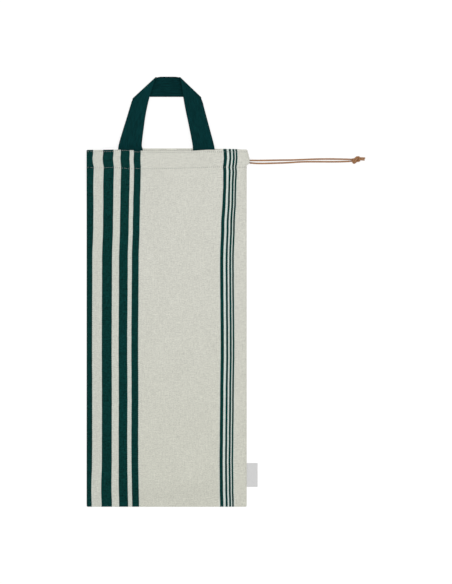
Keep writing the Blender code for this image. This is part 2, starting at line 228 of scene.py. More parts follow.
# The strap handle
STRAP_THICK = 0.0016
STRAP_CLOTH = 0.0014
STRAP_WIDTH = 0.0405
STRAP_FLOOR_Z = 0.0009
STRAP_COLUMNS = 18
STRAP_ARCH = 0.0008
STRAP_STEP = 0.0024
STRAP_SMOOTHING = 3
FOOT_ROWS = 4
LEFT_LEG = (
    # outer x, outer y, outer z, inner x, inner y, inner z
    (-0.0908, 0.3030, 0.0070, -0.0448, 0.3030, 0.0070),
    (-0.0906, 0.3310, 0.0070, -0.0441, 0.3310, 0.0070),
    (-0.0903, 0.3350, 0.0069, -0.0446, 0.3346, 0.0069),
    (-0.0899, 0.3390, 0.0067, -0.0466, 0.3378, 0.0067),
    (-0.0865, 0.3520, 0.0060, -0.0451, 0.3530, 0.0062),
    (-0.0822, 0.3660, 0.0052, -0.0428, 0.3700, 0.0060),
    (-0.0781, 0.3794, 0.0047, -0.0408, 0.3860, 0.0058),
    (-0.0735, 0.3940, 0.0044, -0.0382, 0.4020, 0.0056),
    (-0.0694, 0.4080, 0.0042, -0.0348, 0.4180, 0.0054),
    (-0.0667, 0.4165, 0.0041, -0.0313, 0.4320, 0.0052),
    (-0.0652, 0.4218, 0.0041, -0.0262, 0.4480, 0.0050),
)
RIGHT_LEG = (
    # outer x, outer y, outer z, inner x, inner y, inner z
    (0.0905, 0.3030, 0.0070, 0.0490, 0.3030, 0.0070),
    (0.0904, 0.3160, 0.0070, 0.0489, 0.3160, 0.0070),
    (0.0902, 0.3290, 0.0070, 0.0489, 0.3290, 0.0070),
    (0.0889, 0.3390, 0.0067, 0.0486, 0.3390, 0.0067),
    (0.0855, 0.3520, 0.0060, 0.0460, 0.3540, 0.0062),
    (0.0818, 0.3655, 0.0052, 0.0428, 0.3700, 0.0060),
    (0.0781, 0.3794, 0.0047, 0.0395, 0.3860, 0.0058),
    (0.0742, 0.3940, 0.0044, 0.0360, 0.4020, 0.0056),
    (0.0704, 0.4080, 0.0042, 0.0330, 0.4180, 0.0054),
    (0.0682, 0.4170, 0.0041, 0.0306, 0.4320, 0.0052),
    (0.0664, 0.4230, 0.0041, 0.0286, 0.4480, 0.0050),
)
LEFT_CREASE = ((-0.0635, 0.4280), (-0.0207, 0.4676))
RIGHT_CREASE = ((0.0645, 0.4302), (0.0252, 0.4678))
CREASE_ROUND = (0.0016, 0.0020)
CREASE_STEPS = 14
TOP_LOWER_Y = 0.4306
TOP_UPPER_Y = 0.4682
TOP_ROWS = 26
TOP_EASE = 0.12
TOP_LAYER_Z = 0.0016  # the strap is the folded-over run below this height

# The label in the right side seam
LABEL_SIZE = (0.0200, 0.0443)
LABEL_CENTRE_Y = -0.2746
LABEL_CLOTH = 0.0008
LABEL_GAP = 0.0003
LABEL_GRID = (20, 44)
LABEL_ROWS = (
    # how far along its width, height of its middle
    (0.00, 0.0016),
    (0.25, 0.0013),
    (0.55, 0.0007),
    (1.00, 0.0005),
)
LABEL_LIFT = (0.0002, 2, 60)  # height, and waves over its width and per metre of its length

# The drawcord
CORD_DIAMETER = 0.0030
CORD_SIDES = 18
CORD_STEP = 0.0016
CORD_UNEVEN = (0.05, 90)  # share of the radius, and waves per metre
CUT_END_SHARE = 0.86
CURVE_PARTS = 12
UPPER_LANE_Y = 0.3122
LOWER_LANE_Y = 0.3068
RUN_LEFT_X = -0.1405
RUN_RIGHT_X = 0.1390
RUN_STEP = 0.0130
RUN_GAP = 0.0007
TURN_STEPS = 8
UPPER_ROUTE = (
    # x, y, z
    (0.1545, 0.3118, 0.0076),
    (0.1640, 0.3118, 0.0066),
    (0.1760, 0.3119, 0.0042),
    (0.1900, 0.3122, 0.0020),
    (0.2120, 0.3126, 0.0016),
    (0.2300, 0.3128, 0.0016),
    (0.2500, 0.3134, 0.0016),
    (0.2720, 0.3143, 0.0016),
    (0.2950, 0.3147, 0.0016),
    (0.3160, 0.3146, 0.0016),
    (0.3320, 0.3143, 0.0017),
    (0.3420, 0.3140, 0.0020),
)
LOWER_ROUTE = (
    # x, y, z
    (0.1545, 0.3074, 0.0052),
    (0.1640, 0.3066, 0.0046),
    (0.1760, 0.3063, 0.0030),
    (0.1900, 0.3066, 0.0017),
    (0.2120, 0.3072, 0.0016),
    (0.2300, 0.3080, 0.0016),
    (0.2500, 0.3093, 0.0016),
    (0.2720, 0.3096, 0.0016),
    (0.2950, 0.3095, 0.0016),
    (0.3160, 0.3095, 0.0016),
    (0.3320, 0.3099, 0.0017),
    (0.3420, 0.3104, 0.0020),
)
KNOT_STEP = 0.0012
KNOT_CENTRE = (0.3534, 0.3129, 0.0054)
KNOT_STRAND_APART = 0.0032
KNOT_ROUTE = (
    # x, y, z from the knot's middle: under, over, under, over, under, over
    (-0.0109, -0.0006, -0.0034),
    (-0.0064, -0.0006, -0.0032),
    (-0.0018, -0.0006, -0.0010),
    (0.0026, -0.0008, 0.0004),
    (0.0054, 0.0016, -0.0020),
    (0.0034, 0.0040, -0.0012),
    (0.0008, 0.0032, 0.0024),
    (-0.0026, 0.0000, 0.0032),
    (-0.0060, -0.0032, 0.0014),
    (-0.0050, -0.0046, -0.0022),
    (-0.0004, -0.0016, -0.0036),
    (0.0034, 0.0016, -0.0034),
    (0.0070, 0.0022, 0.0016),
    (0.0112, 0.0018, -0.0008),
    (0.0166, 0.0018, -0.0038),
)
KNOT_PRESS = 0.92  # the strands press into each other by the rest
LOOSEN_ROUNDS = 120
LOOSEN_PUSH = 0.18
LOOSEN_SMOOTH = 0.10
LOOSEN_HELD = (3, 2)  # the points of each strand that stay, at its start and its end
OWN_REACH = 2.2  # points nearer than this many diameters along a strand don't push each other
TAIL_POINTS = 6
LOWER_TAIL_END_X = 0.3693
STRAND_REACH = 0.0004  # the free strands come this much closer to the knot

WELD = 0.00001

# Colours, in linear light
NATURAL = (0.649, 0.649, 0.584)
NATURAL_LOW = (0.630, 0.632, 0.552)
NATURAL_GAP = (0.612, 0.624, 0.554)
MINT_GAP = (0.590, 0.645, 0.598)
THIN_GAP = (0.640, 0.712, 0.665)
STRIPE_GREEN = (0.0029, 0.0358, 0.0320)
STRAP_GREEN = (0.0022, 0.0312, 0.0331)
THREAD_PALE = (0.900, 0.910, 0.880)
LABEL_GREY = (0.632, 0.632, 0.630)
LEATHER = (0.400, 0.198, 0.084)
LEATHER_DARK = (0.170, 0.080, 0.040)
CUT_LEATHER = (0.090, 0.062, 0.040)
FLOOR_GREY = (0.30, 0.30, 0.30)

# Grain of the looks, as sizes across and along
WARP_GRAIN = (0.0024, 0.014)
WEFT_GRAIN = (0.011, 0.0024)
FLECK_GRAIN = (0.0026, 0.0026)
CLOUD_GRAIN = (0.050, 0.070)
PATCH_GRAIN = (0.030, 0.040)
STRAP_GRAIN = (0.0020, 0.014)
STRAP_CLOUDS = (0.020, 0.045)
LABEL_GRAIN = (0.004, 0.0007)
LEATHER_GRAIN = (0.0009, 0.0050)
LEATHER_WEAR = (0.004, 0.018)
LEATHER_FINE = (0.0004, 0.0006)
CUT_GRAIN = 0.0004
FLOOR_WAVES = 3

# Pitches of the weaves
RIB_PITCH = 0.0036
RIB_SLANT = (0.028, 0.48)  # the ribs turn back after this width, and how steeply they rise
TWILL_TURN = 0.0052
TWILL_RISE = 6.0
TWILL_PITCH = 0.00085
STRAP_TWILL = 0.0016
THREAD_TWIST = 0.0006
LABEL_RIB = 0.00075
LABEL_PICK = (0.0005, 0.0015)

# How strongly each shows in its cloth's brightness
WARP_SHARE = 0.20
WEFT_SHARE = 0.22
FLECK_SHARE = 0.42
CLOUD_SHARE = 0.08
RIB_SHARE = 0.030
TWILL_SHARE = 0.035
GREEN_CONTRAST = 4.0
FRINGE_SHARE = 0.75
# how dark the painted shade in the stitch holes is
HOLE_SHADE_SHARE = 0.50
# how dark the painted shadow dots on the back rim are
SHADOW_DOT_SHARE = 0.55
# how much painted light lifts the back panel's rim
RIM_LIGHT_SHARE = 0.24
STRAP_SHARES = (0.18, 1.10, 0.45)  # twill, yarn, clouds
OTHER_FACE = 0.19
LABEL_SHARES = (0.020, 0.012, 0.07)  # rib, pick, yarn

ROUGH_COTTON = 0.88
ROUGH_STRAP = 0.80
ROUGH_THREAD = 0.70
ROUGH_LABEL = 0.62
ROUGH_CORD = 0.45
ROUGH_CUT = 0.85
ROUGH_FLOOR = 0.95
DULL = 0.02
SATIN = 0.1


# Shader sums


class Wire:
    """A shader socket that takes part in sums."""

    def __init__(self, look, socket):
        self.look = look
        self.socket = socket

    def math(self, operation, *others):
        return self.look.node(
            "ShaderNodeMath", {"operation": operation}, dict(enumerate((self, *others)))
        )

    def __add__(self, other):
        return self.math("ADD", other)

    def __sub__(self, other):
        return self.math("SUBTRACT", other)

    def __mul__(self, other):
        return self.math("MULTIPLY", other)

    def __truediv__(self, other):
        return self.math("DIVIDE", other)

    def __rsub__(self, other):
        return (self * -1) + other

    __radd__ = __add__

    def __abs__(self):
        return self.math("ABSOLUTE")


class Look:
    """One node material, and the nodes that its sums make."""

    def __init__(self, name, roughness, shine):
        self.material = bpy.data.materials.new(name)
        self.material.use_nodes = True
        self.tree = self.material.node_tree
        self.shader = self.tree.nodes["Principled BSDF"]
        self.set("Roughness", roughness)
        self.set("Specular IOR Level", shine)

    def set(self, socket, value):
        self.feed(self.shader.inputs[socket], value)

    def feed(self, socket, value):
        if isinstance(value, Wire):
            self.tree.links.new(value.socket, socket)
        else:
            socket.default_value = value

    def node(self, kind, settings, sockets, output=0):
        made = self.tree.nodes.new(kind)
        for name, value in settings.items():
            setattr(made, name, value)
        for key, value in sockets.items():
            self.feed(made.inputs[key], value)
        return Wire(self, made.outputs[output])

    def split(self, vector):
        return [self.node("ShaderNodeSeparateXYZ", {}, {0: vector}, axis) for axis in range(3)]

    def map(self, name):
        """The two coordinates of a UV map, in metres."""
        return self.split(self.node("ShaderNodeUVMap", {"uv_map": name}, {}))[:2]

    def place(self):
        """The three coordinates of a point on the piece."""
        return self.split(self.node("ShaderNodeTexCoord", {}, {}, "Object"))

    def noise(self, x, y, z=0.0, detail=2.0):
        """Noise round 0, about -0.5 to 0.5, one lump for each whole number."""
        vector = self.node("ShaderNodeCombineXYZ", {}, {0: x, 1: y, 2: z})
        sockets = {"Vector": vector, "Scale": 1.0, "Detail": detail}
        return self.node("ShaderNodeTexNoise", {}, sockets) - 0.5

    def grain(self, across, along, size, detail=2.0):
        """Noise in lumps of a size across and along."""
        return self.noise(across / size[0], along / size[1], detail=detail)

    def step(self, value, start, end):
        """0 at start and 1 at end, with soft ends."""
        sockets = {"Value": value, "From Min": start, "From Max": end}
        return self.node("ShaderNodeMapRange", {"interpolation_type": "SMOOTHSTEP"}, sockets)

    def band(self, value, start, end, soft):
        return self.step(value, start - soft, start + soft) - self.step(value, end - soft, end + soft)

    def blend(self, share, first, second):
        """A colour between two, each a link or three numbers."""
        sockets = {0: share, 6: self.colour(first), 7: self.colour(second)}
        return self.node("ShaderNodeMix", {"data_type": "RGBA"}, sockets, 2)

    def colour(self, value):
        return value if isinstance(value, Wire) else (*value, 1)

    def shade(self, colour, strength):
        """A colour made lighter or darker by a factor."""
        sockets = {0: colour, "Scale": strength}
        return self.node("ShaderNodeVectorMath", {"operation": "SCALE"}, sockets)

    def wave(self, phase):
        """A sine wave, with one crest for each whole number."""
        return (phase * (2 * math.pi)).math("SINE")

    def bump(self, height, distance, strength=1.0):
        sockets = {"Strength": strength, "Distance": distance, "Height": height}
        self.set("Normal", self.node("ShaderNodeBump", {}, sockets))


# Materials


def cotton_stripes(look, across, along):
    """The distance from the fold, where the stripes are, and the same with their fringes."""
    tooth = (along / TOOTH[0]).math("PINGPONG", 1.0) - 0.5
    wander = look.noise(across * WANDER[0], along * WANDER[1]) * WANDER[2]
    from_fold = abs(across) + tooth * TOOTH[1] + wander
    stripes, beside = 0.0, 0.0
    for start, end in STRIPES:
        stripes = look.band(from_fold, start, end, STRIPE_SOFT) + stripes
        beside = look.band(from_fold, start - FRINGE, end + FRINGE, FRINGE_SOFT) + beside
    return from_fold, stripes, beside


def cotton_weave(look, across, along):
    """How the yarns lighten and darken the cloth, and how high they stand."""
    warp = look.grain(across, along, WARP_GRAIN, 1.0)
    weft = look.grain(across, along, WEFT_GRAIN, 1.0)
    fleck = look.grain(across, along, FLECK_GRAIN, 1.0)
    cloudy = look.grain(across, along, CLOUD_GRAIN)
    slant = across.math("PINGPONG", RIB_SLANT[0]) * RIB_SLANT[1]
    rib = look.wave((slant + along) / RIB_PITCH)
    patchy = look.step(look.grain(across, along, PATCH_GRAIN), -0.25, 0.20)
    yarn_across = (across / TWILL_TURN).math("PINGPONG", 1.0) * TWILL_RISE
    twill = look.wave(yarn_across + along / TWILL_PITCH)
    weave = warp * WARP_SHARE + weft * WEFT_SHARE + fleck * FLECK_SHARE + cloudy * CLOUD_SHARE
    weave = weave + rib * patchy * RIB_SHARE + twill * TWILL_SHARE
    return weave, twill * 0.35 + warp + weft


def cotton_colour(look, across, along, weave):
    """The pale cloth with its tints between the stripes, and the green on it."""
    from_fold, stripes, beside = cotton_stripes(look, across, along)
    low_down = look.step(along, 0.20, BOTTOM_Y)
    pale = look.blend(low_down, NATURAL, NATURAL_LOW)
    between = look.band(from_fold, *THICK_STRIPES, 0.002)
    pale = look.blend(between, pale, NATURAL_GAP)
    among = look.band(from_fold, *THIN_STRIPES, 0.001)
    pale = look.blend(among, pale, THIN_GAP)
    fringe = (beside.math("MINIMUM", 1.0) - stripes).math("MAXIMUM", 0.0)
    fringe = fringe * (1.0 - among) * FRINGE_SHARE
    pale = look.shade(look.blend(fringe, pale, MINT_GAP), weave + 1.0)
    green = look.shade(STRIPE_GREEN, weave * GREEN_CONTRAST + 1.0)
    return look.blend(stripes, pale, green)


def painted_shadow_dots(look, on_back, along, seam_x, hole_x):
    """Painted shadow dots, at the stitch pitch, where the front rim shades the back panel's rim."""
    shadow_dots = 0.0
    for start, end in SHADOW_DOT_SPANS:
        shadow_dots = look.band(seam_x, start, end, 0.0010) + shadow_dots
    shadow_dots = shadow_dots * on_back * look.step(hole_x, 0.25, 0.40)
    return shadow_dots * look.band(along, *SHADOW_DOT_ALONG, 0.0003)


def cotton_look():
    look = Look("striped_cotton", ROUGH_COTTON, DULL)
    across, along = look.map("cloth")
    seam_x, seam_y = look.map("seam")
    weave, relief = cotton_weave(look, across, along)
    cloth = cotton_colour(look, across, along, weave)
    # painted shade in the stitch holes, which the bump also dents
    hole_x = (seam_x / STITCH_PITCH).math("PINGPONG", 0.5)
    on_line = 1.0 - look.step(abs(seam_y), 0.0004, 0.0011)
    holes = (1.0 - look.step(hole_x, 0.08, 0.22)) * on_line
    on_back = look.step(across, 0.0, -0.001)
    # painted shadow dots where the front rim shades the back rim
    shadow_dots = painted_shadow_dots(look, on_back, along, seam_x, hole_x)
    # painted light on the back panel's rim, where the front rim shades it
    rim = on_back * look.band(along, *RIM_LIGHT_ALONG, 0.0006)
    light = rim * RIM_LIGHT_SHARE + 1.0 - (holes * HOLE_SHADE_SHARE + shadow_dots * SHADOW_DOT_SHARE)
    look.set("Base Color", look.shade(cloth, light))
    look.set("Roughness", ROUGH_COTTON + weave * 0.3)
    look.bump(relief - holes * 1.5, 0.00025)
    return look.material


def strap_look(top_from, top_to):
    """The strap, whose other face shows on the run between top_from and top_to."""
    look = Look("strap_twill", ROUGH_STRAP, DULL)
    across, along = look.map("cloth")
    twill = look.wave(across / STRAP_TWILL + along / STRAP_TWILL)
    yarn = look.grain(across, along, STRAP_GRAIN, 1.0)
    cloudy = look.grain(across, along, STRAP_CLOUDS)
    weave = twill * STRAP_SHARES[0] + yarn * STRAP_SHARES[1] + cloudy * STRAP_SHARES[2]
    other_face = look.band(along, top_from, top_to, 0.0006)
    look.set("Base Color", look.shade(STRAP_GREEN, weave + 1.0 - other_face * OTHER_FACE))
    look.set("Roughness", ROUGH_STRAP + weave * 0.1)
    look.bump(twill * 0.5 + yarn, 0.00025)
    return look.material


def thread_look():
    look = Look("thread", ROUGH_THREAD, SATIN)
    x, y, _ = look.place()
    twist = look.wave(x / THREAD_TWIST + y / THREAD_TWIST)
    look.set("Base Color", look.shade(THREAD_PALE, twist * 0.06 + 1.0))
    look.bump(twist, 0.00008)
    return look.material


def label_look():
    look = Look("woven_label", ROUGH_LABEL, 0.15)
    x, y, _ = look.place()
    rib = look.wave(y / LABEL_RIB)
    pick = look.wave(x / LABEL_PICK[0] + y / LABEL_PICK[1])
    yarn = look.grain(x, y, LABEL_GRAIN, 1.0)
    weave = rib * LABEL_SHARES[0] + pick * LABEL_SHARES[1] + yarn * LABEL_SHARES[2]
    look.set("Base Color", look.shade(LABEL_GREY, weave + 1.0))
    look.set("Roughness", ROUGH_LABEL + weave)
    look.bump(rib * 0.6 + yarn, 0.00010)
    return look.material


def cord_look():
    look = Look("leather_cord", ROUGH_CORD, 0.3)
    around, along = look.map("cord")
    grain = look.grain(around, along, LEATHER_GRAIN)
    worn = look.grain(around, along, LEATHER_WEAR)
    fine = look.grain(around, along, LEATHER_FINE, 1.0)
    mix = look.step(grain * 0.7 + worn * 0.5, -0.35, 0.25)
    colour = look.blend(mix, LEATHER_DARK, LEATHER)
    look.set("Base Color", look.shade(colour, fine * 0.25 + 1.0))
    look.set("Roughness", ROUGH_CORD + grain * 0.2)
    look.bump(grain + fine * 0.5, 0.00012)
    return look.material


def cut_end_look():
    look = Look("cut_leather", ROUGH_CUT, SATIN)
    x, y, z = look.place()
    fibre = look.noise(x / CUT_GRAIN, y / CUT_GRAIN, z / CUT_GRAIN)
    look.set("Base Color", look.shade(CUT_LEATHER, fibre * 0.6 + 1.0))
    look.bump(fibre, 0.0002)
    return look.material


def floor_look():
    look = Look("pale_floor", ROUGH_FLOOR, SATIN)
    x, y, _ = look.place()
    fleck = look.noise(x * FLOOR_WAVES, y * FLOOR_WAVES) * 0.01 + 1.0
    look.set("Base Color", look.shade(FLOOR_GREY, fleck))
    look.set("Emission Color", (1, 1, 1, 1))
    look.set("Emission Strength", FLOOR_GLOW)
    return look.material


# Shapes that every piece uses


def new_piece(name, mesh, *looks):
    data = bpy.data.meshes.new(name)
    mesh.to_mesh(data)
    mesh.free()
    data.shade_smooth()
    for look in looks:
        data.materials.append(look)
    piece = bpy.data.objects.new(name, data)
    bpy.context.scene.collection.objects.link(piece)
    return piece


def smooth_step(value):
    value = min(1.0, max(0.0, value))
    return value * value * (3 - 2 * value)


def ramp(value, start, end):
    """0 at start and 1 at end, with a soft beginning and a soft end."""
    return smooth_step((value - start) / (end - start))


def table_value(table, key, column=1):
    """One column of a table at a key of its first, eased between rows."""
    if key <= table[0][0]:
        return table[0][column]
    for low, high in zip(table, table[1:]):
        if key <= high[0]:
            return low[column] + (high[column] - low[column]) * ramp(key, low[0], high[0])
    return table[-1][column]


def lay_grid(mesh, columns, rows, place, maps=()):
    """Adds a grid, puts each point where place says, and writes its UV maps, each (name, flat)."""
    made = bmesh.ops.create_grid(mesh, x_segments=columns, y_segments=rows, size=0.5)["verts"]
    cells = {v: (round((v.co.x + 0.5) * columns), round((v.co.y + 0.5) * rows)) for v in made}
    for vert, cell in cells.items():
        vert.co = place(*cell)
    faces = {face for vert in made for face in vert.link_faces}
    for name, flat in maps:
        layer = mesh.loops.layers.uv.get(name) or mesh.loops.layers.uv.new(name)
        for face in faces:
            for loop in face.loops:
                loop[layer].uv = flat(*cells[loop.vert])


def thicken(piece, thickness, offset):
    solid = piece.modifiers.new("Thickness", "SOLIDIFY")
    solid.thickness = thickness
    solid.offset = offset
    solid.use_even_offset = True


def smooth_curve(points, step):
    """Points about a step apart on the smooth curve through the given ones."""
    points = [Vector(p) for p in points]
    ends = [2 * points[0] - points[1]] + points + [2 * points[-1] - points[-2]]
    fine = []
    for a, b, c, d in zip(ends, ends[1:], ends[2:], ends[3:]):
        for part in range(CURVE_PARTS):
            t = part / CURVE_PARTS
            bend = (2 * a - 5 * b + 4 * c - d) * t * t
            twist = (3 * b - a - 3 * c + d) * t * t * t
            fine.append(0.5 * (2 * b + (c - a) * t + bend + twist))
    fine.append(points[-1])
    along = [0.0]
    for a, b in zip(fine, fine[1:]):
        along.append(along[-1] + (b - a).length)
    count = max(2, round(along[-1] / step))
    spaced, place = [], 0
    for index in range(count + 1):
        wanted = along[-1] * index / count
        while place < len(fine) - 2 and along[place + 1] < wanted:
            place += 1
        share = (wanted - along[place]) / max(along[place + 1] - along[place], 1e-9)
        spaced.append(fine[place].lerp(fine[place + 1], share))
    return spaced


# The drawcord


def cord_rings(points):
    """At each point of a line, two directions across it that don't twist along the way."""
    across = Vector((0, 0, 1))
    rings = []
    for index in range(len(points)):
        ahead = points[min(index + 1, len(points) - 1)] - points[max(index - 1, 0)]
        ahead.normalize()
        across = (across - ahead * across.dot(ahead)).normalized()
        rings.append((across.copy(), ahead.cross(across)))
    return rings


def cord_tube(mesh, points, diameter):
    """A round cord along a line, a little uneven, with softly cut ends."""
    rings = cord_rings(points)
    last = len(points) - 1
    step = (points[1] - points[0]).length

    def place(column, row):
        angle = 2 * math.pi * (column % CORD_SIDES) / CORD_SIDES
        one, two = rings[row]
        uneven = 1 + CORD_UNEVEN[0] * noise.noise(points[row] * CORD_UNEVEN[1])
        radius = diameter / 2 * uneven * (CUT_END_SHARE if row in (0, last) else 1)
        return points[row] + (one * math.cos(angle) + two * math.sin(angle)) * radius

    def flat(column, row):
        return (math.pi * diameter * column / CORD_SIDES, step * row)

    lay_grid(mesh, CORD_SIDES, last, place, [("cord", flat)])
    bmesh.ops.remove_doubles(mesh, verts=mesh.verts, dist=WELD)
    ends = [edge for edge in mesh.edges if edge.is_boundary]
    for face in bmesh.ops.holes_fill(mesh, edges=ends)["faces"]:
        face.material_index = 1
    bmesh.ops.recalc_face_normals(mesh, faces=mesh.faces)


def casing_middle(x, y, front):
    """The height of the casing's middle, over or under the hem."""
    deep = CLOTH_THICK + table_value(CASING, y) / 2
    if not front:
        return deep
    return 2 * side_round(y) + front_rise(share_across(x, y), y) - deep


def run_points():
    """The held stretch: in at the seam, along the front casing, round the left fold and back."""
    span = RUN_RIGHT_X - RUN_LEFT_X
    count = round(span / RUN_STEP)
    xs = [RUN_RIGHT_X - span * step / count for step in range(count + 1)]
    gap = Vector((RUN_GAP, 0, 0))
    points = [Vector(UPPER_ROUTE[0]) - gap]
    points += [Vector((x, UPPER_LANE_Y, casing_middle(x, UPPER_LANE_Y, True))) for x in xs]
    high = points[-1].copy()
    low = Vector((RUN_LEFT_X, LOWER_LANE_Y, casing_middle(RUN_LEFT_X, LOWER_LANE_Y, False)))
    middle, arm = (high + low) / 2, (high - low) / 2
    for step in range(1, TURN_STEPS):
        angle = math.pi * step / TURN_STEPS
        out = Vector((-arm.length * math.sin(angle), 0, 0))
        points.append(middle + arm * math.cos(angle) + out)
    points.append(low)
    points += [
        Vector((x, LOWER_LANE_Y, casing_middle(x, LOWER_LANE_Y, False))) for x in reversed(xs[:-1])
    ]
    points.append(Vector(LOWER_ROUTE[0]) - gap)
    return points


def loosen(strands, diameter):
    """Pushes the knot's strands apart until they only touch, with their ends held."""
    spots = np.array([p for strand in strands for p in strand])
    count = len(strands[0])
    strand_of = np.repeat([0, 1], count)
    index = np.tile(np.arange(count), 2)
    near_steps = round(OWN_REACH * diameter / KNOT_STEP)
    same = strand_of[:, None] == strand_of[None, :]
    neighbours = same & (abs(index[:, None] - index[None, :]) < near_steps)
    held = (index < LOOSEN_HELD[0]) | (index > count - LOOSEN_HELD[1])
    inner = np.flatnonzero(~held)
    for _ in range(LOOSEN_ROUNDS):
        apart = spots[:, None] - spots[None, :]
        far = np.linalg.norm(apart, axis=2) + 1e-9
        short = np.where(neighbours, 0, np.clip(diameter - far, 0, None))
        push = (apart / far[..., None] * short[..., None]).sum(axis=1) * LOOSEN_PUSH
        spots[inner] += push[inner]
        middle = (spots[inner - 1] + spots[inner + 1]) / 2
        spots[inner] += (middle - spots[inner]) * LOOSEN_SMOOTH
        spots[:, 2] = np.maximum(spots[:, 2], diameter / 2)
    return [[Vector(p) for p in spots[:count]], [Vector(p) for p in spots[count:]]]


def knot_strands():
    path = smooth_curve([Vector(KNOT_CENTRE) + Vector(p) for p in KNOT_ROUTE], KNOT_STEP)
    strands = []
    for side in (1, -1):
        strand = []
        for index, point in enumerate(path):
            ahead = path[min(index + 1, len(path) - 1)] - path[max(index - 1, 0)]
            across = Vector((0, 0, 1)).cross(ahead).normalized()
            strand.append(point + across * side * KNOT_STRAND_APART / 2)
        strands.append(strand)
    return loosen(strands, CORD_DIAMETER * KNOT_PRESS)


def make_knot(leather, cut_end):
    upper, lower = knot_strands()
    lower = lower[:-TAIL_POINTS] + [p for p in lower[-TAIL_POINTS:] if p.x < LOWER_TAIL_END_X]
    mesh = bmesh.new()
    for strand in (upper, lower):
        part = bmesh.new()
        cord_tube(part, smooth_curve(strand, KNOT_STEP / 2), CORD_DIAMETER)
        data = bpy.data.meshes.new("strand")
        part.to_mesh(data)
        part.free()
        mesh.from_mesh(data)
        bpy.data.meshes.remove(data)
    knot = new_piece("cord_knot", mesh, leather, cut_end)
    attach(knot, "root")
    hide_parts("drawcord_knot")
    return knot


def make_strand(name, route, node, leather, cut_end):
    """One free strand, from the casing's slit to the knot, with the pieces at its end."""
    points = smooth_curve(route, CORD_STEP)
    points[-1] += (points[-1] - points[-2]).normalized() * STRAND_REACH
    mesh = bmesh.new()
    cord_tube(mesh, points, CORD_DIAMETER)
    strand = new_piece(name, mesh, leather, cut_end)
    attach(strand, "root")
    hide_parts(node)
    length = sum((b - a).length for a, b in zip(points, points[1:]))


def make_drawcord():
    leather, cut_end = cord_look(), cut_end_look()
    knot = make_knot(leather, cut_end)
    make_strand("cord_upper", UPPER_ROUTE, "drawcord_upper", leather, cut_end)
    make_strand("cord_lower", LOWER_ROUTE, "drawcord_lower", leather, cut_end)
    mesh = bmesh.new()
    cord_tube(mesh, smooth_curve(run_points(), 2 * CORD_STEP), CORD_DIAMETER)
    held = new_piece("cord_in_casing", mesh, leather, cut_end)
    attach(held, "root")
    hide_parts("drawcord_run")


# The bag's cloth


def side_round(y):
    return SIDE_ROUND + (MOUTH_ROUND - SIDE_ROUND) * ramp(y, THICKER_FROM_Y, EXIT_LOW_Y)


def corner_inset(y):
    """How far the side edge turns in at the bottom corners."""
    down = min(CORNER_ROUND, max(0.0, BOTTOM_Y + CORNER_ROUND - y))
    return CORNER_ROUND - math.sqrt(CORNER_ROUND**2 - down**2)


def left_edge(y):
    return corner_inset(y) - BAG_WIDTH / 2


def right_edge(y):
    """The right side seam, which slants out towards the cord's exit and comes back under it."""
    out = ramp(y, FLARE_Y[0], FLARE_Y[1]) * ramp(y, FLARE_Y[3], FLARE_Y[2])
    return BAG_WIDTH / 2 + EXIT_FLARE * out - corner_inset(y)


def share_across(x, y):
    """Where x lies between the side edges at y, from -1 at the left to 1 at the right."""
    share = 2 * (x - left_edge(y)) / (right_edge(y) - left_edge(y)) - 1
    return max(-1.0, min(1.0, share))


def hem_inset(y):
    """From the bag's outside to the hem's inner face."""
    return 2 * CLOTH_THICK + table_value(CASING, y)


def front_rise(share, y):
    """The front panel's height over its side edges, at a share from -1 to 1 of the way across."""
    crown = BODY_CROWN + (MOUTH_CROWN - BODY_CROWN) * ramp(y, THICKER_FROM_Y, EXIT_LOW_Y)
    crown *= ramp(y, BOTTOM_Y, BOTTOM_Y + CROWN_RUN)
    shape = 1 - abs(share) ** CROWN_POWER
    dip = STITCH_DIP * math.exp(-(((y - STITCH_Y) / STITCH_REACH) ** 2))
    calm = ramp(y, *CALM_Y) * ramp(y, BOTTOM_Y, BOTTOM_Y + CROWN_RUN)
    x = share * BAG_WIDTH / 2
    wave = sum(
        height * math.sin(2 * math.pi * (across * x + along * y) + phase)
        for height, across, along, phase in WAVES
    )
    return (crown - dip) * shape + wave * calm * (1 - share * share)


def hill(distance, height_and_reach):
    height, reach = height_and_reach
    return height * math.exp(-((distance / reach) ** 2))


def from_stitches(x, y):
    """How far a point lies above the nearer of the two lines of stitches."""
    return y - table_value(HEM_LINE if y < LINES_PART_Y else TOP_LINE, x)


def lumps(x, y, height_and_sizes, layer):
    """Noise of a height, with a size in x and one in y; each layer has a pattern of its own."""
    height, size_x, size_y = height_and_sizes
    return height * noise.noise(Vector((x / size_x, y / size_y, layer)))


def front_relief(x, y, share):
    """The front panel's soft folds, puckers, stitch lines and pressed-through seams."""
    soft = lumps(x, y, SOFT_FOLD, 3.1)
    dimple = lumps(x, y, DIMPLE, 7.7)
    on_casing = ramp(y, GATHER_Y[0], GATHER_Y[1]) * ramp(y, GATHER_Y[3], GATHER_Y[2])
    gather = on_casing * lumps(x, y, GATHER, 1.3)
    grooves = hill(from_stitches(x, y), GROOVE)
    ridge = hill(y - UPPER_LANE_Y, CORD_RIDGE)
    seam_x, seam_y = BAG_WIDTH / 2 - SEAM_ALLOWANCE, BOTTOM_Y + SEAM_ALLOWANCE
    seam = ramp(x, seam_x - SEAM_SOFT, seam_x + SEAM_SOFT)
    seam = max(seam, ramp(y, seam_y + SEAM_SOFT, seam_y - SEAM_SOFT))
    inside = 1 - share**RELIEF_POWER
    return (soft + dimple + gather + ridge + seam * SEAM_STEP - grooves) * inside


def back_relief(x, y):
    """The back panel lies flat, with the same lines of stitches pressed into it."""
    uneven = lumps(x, y, (BACK_LIFT / 2, *BACK_LUMP), 9.2)
    return BACK_LIFT / 2 + uneven + hill(from_stitches(x, y), GROOVE)


